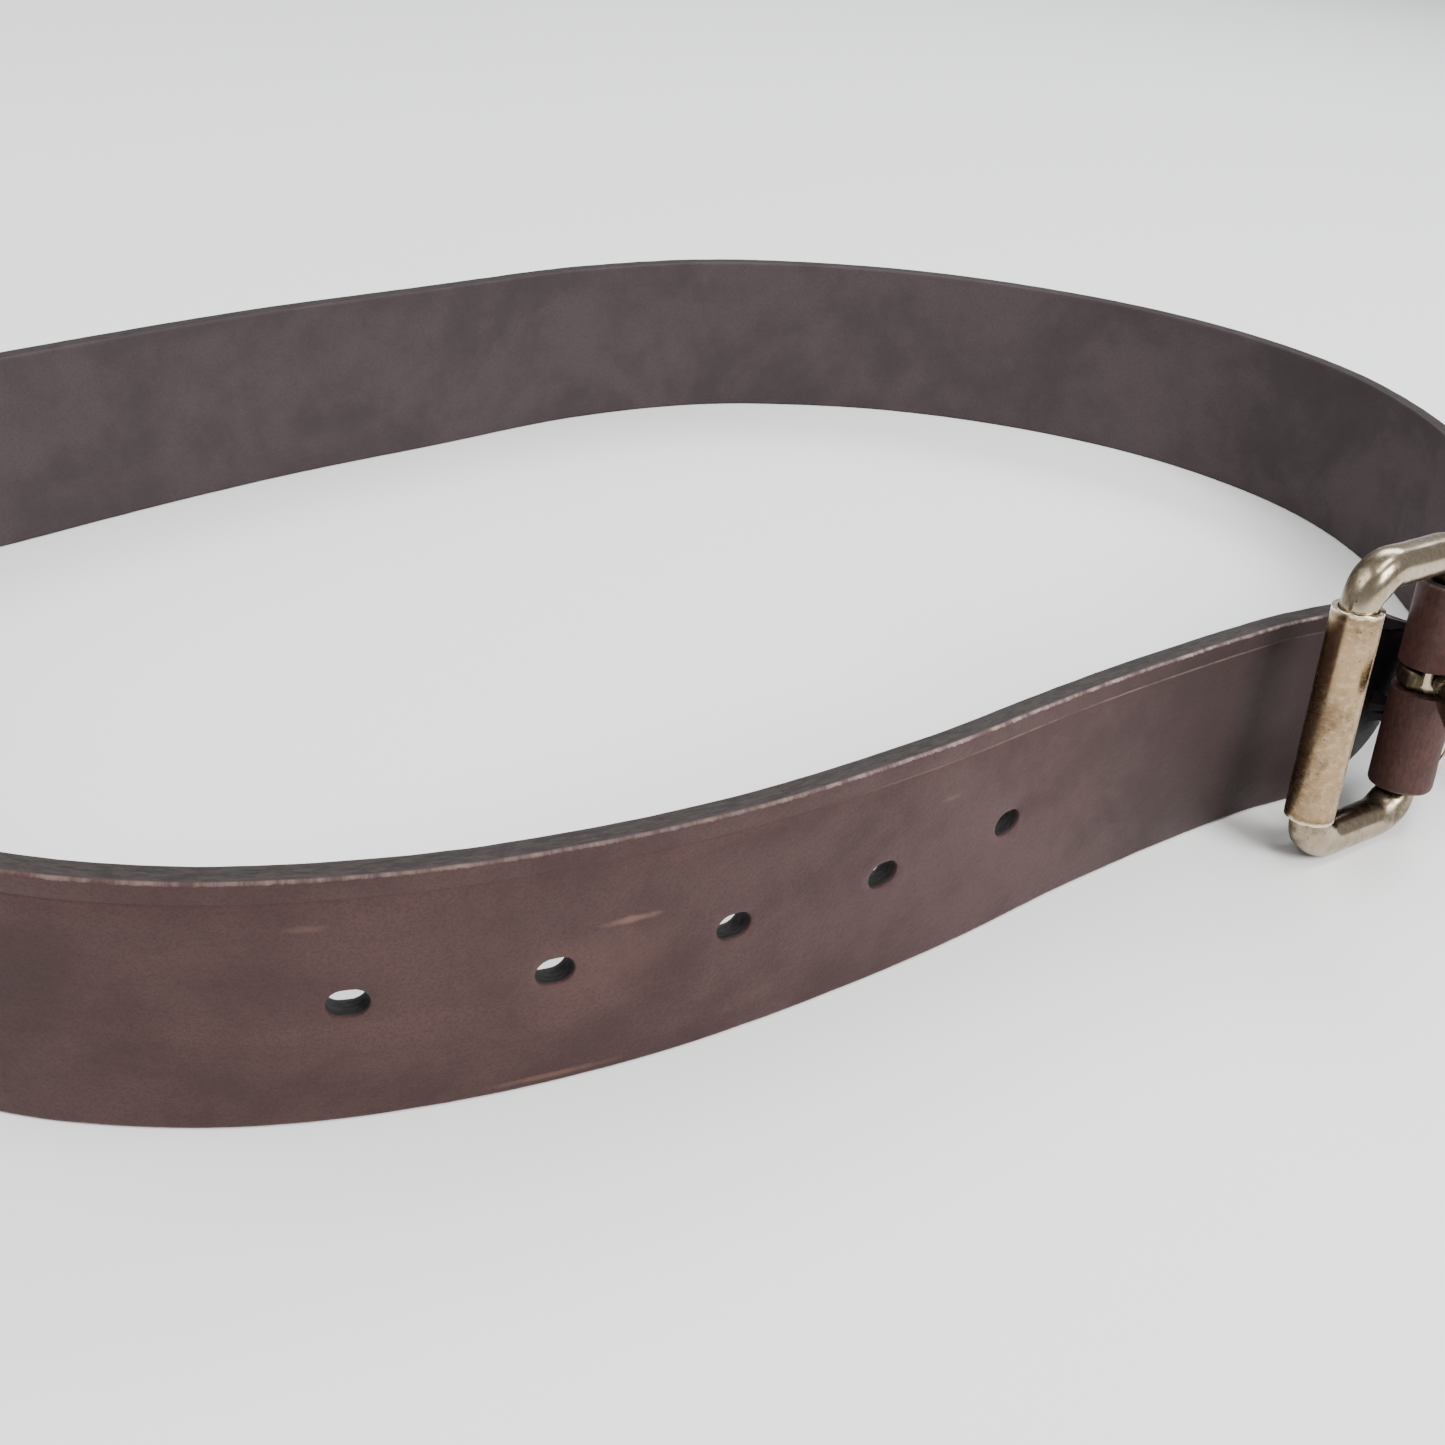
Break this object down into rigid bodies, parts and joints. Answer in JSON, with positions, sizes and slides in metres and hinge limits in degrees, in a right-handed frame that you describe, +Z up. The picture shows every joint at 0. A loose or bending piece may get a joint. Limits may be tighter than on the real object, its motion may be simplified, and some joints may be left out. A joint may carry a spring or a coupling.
{
  "type": "leather belt",
  "caption": "Thick single-ply leather belt standing on edge in an open loop, with a rolled-sheet roller buckle, a prong, a keeper loop and binding screws.",
  "frame": {"origin": "centre of the loop's bounding box, on the surface that the strap's edge stands on", "axes": "+X along the loop's longest extent, towards the buckle; +Y from the side with the prong holes to the far side; +Z up, along the strap's width"},
  "size_m": [0.3297, 0.291, 0.0555],
  "materials": {
    "strap_leather": "matt, waxed, worn at the edges",
    "keeper_leather": "matt",
    "staple_steel": "dull",
    "screw_brass": "satin",
    "antique_brass": "antiqued, rubbed",
    "roller_brass": "antiqued, darkened on one side"
  },
  "bodies": {
    "root": {"strap": "strap_leather", "keeper": "keeper_leather", "keeper_staple": "staple_steel", "screw_posts": "screw_brass", "screws": "screw_brass"},
    "buckle": {"buckle_frame": "antique_brass"},
    "roller": {"roller": "roller_brass"},
    "prong": {"prong": "antique_brass"}
  },
  "joints": [
    {"name": "buckle_swing", "type": "hinge", "parent": "root", "child": "buckle", "pos_m": [0.1284, -0.03658, 0.02781], "axis": [-0.0645, 0.0844, 0.9943], "range_deg": [-9, 35]},
    {"name": "roller_spin", "type": "hinge", "parent": "buckle", "child": "roller", "pos_m": [0.10854, -0.05176, 0.02781], "axis": [-0.0645, 0.0844, 0.9943], "continuous": true},
    {"name": "prong_swing", "type": "hinge", "parent": "buckle", "child": "prong", "pos_m": [0.1284, -0.03658, 0.02781], "axis": [-0.0645, 0.0844, 0.9943], "range_deg": [-32.8, 60]}
  ]
}
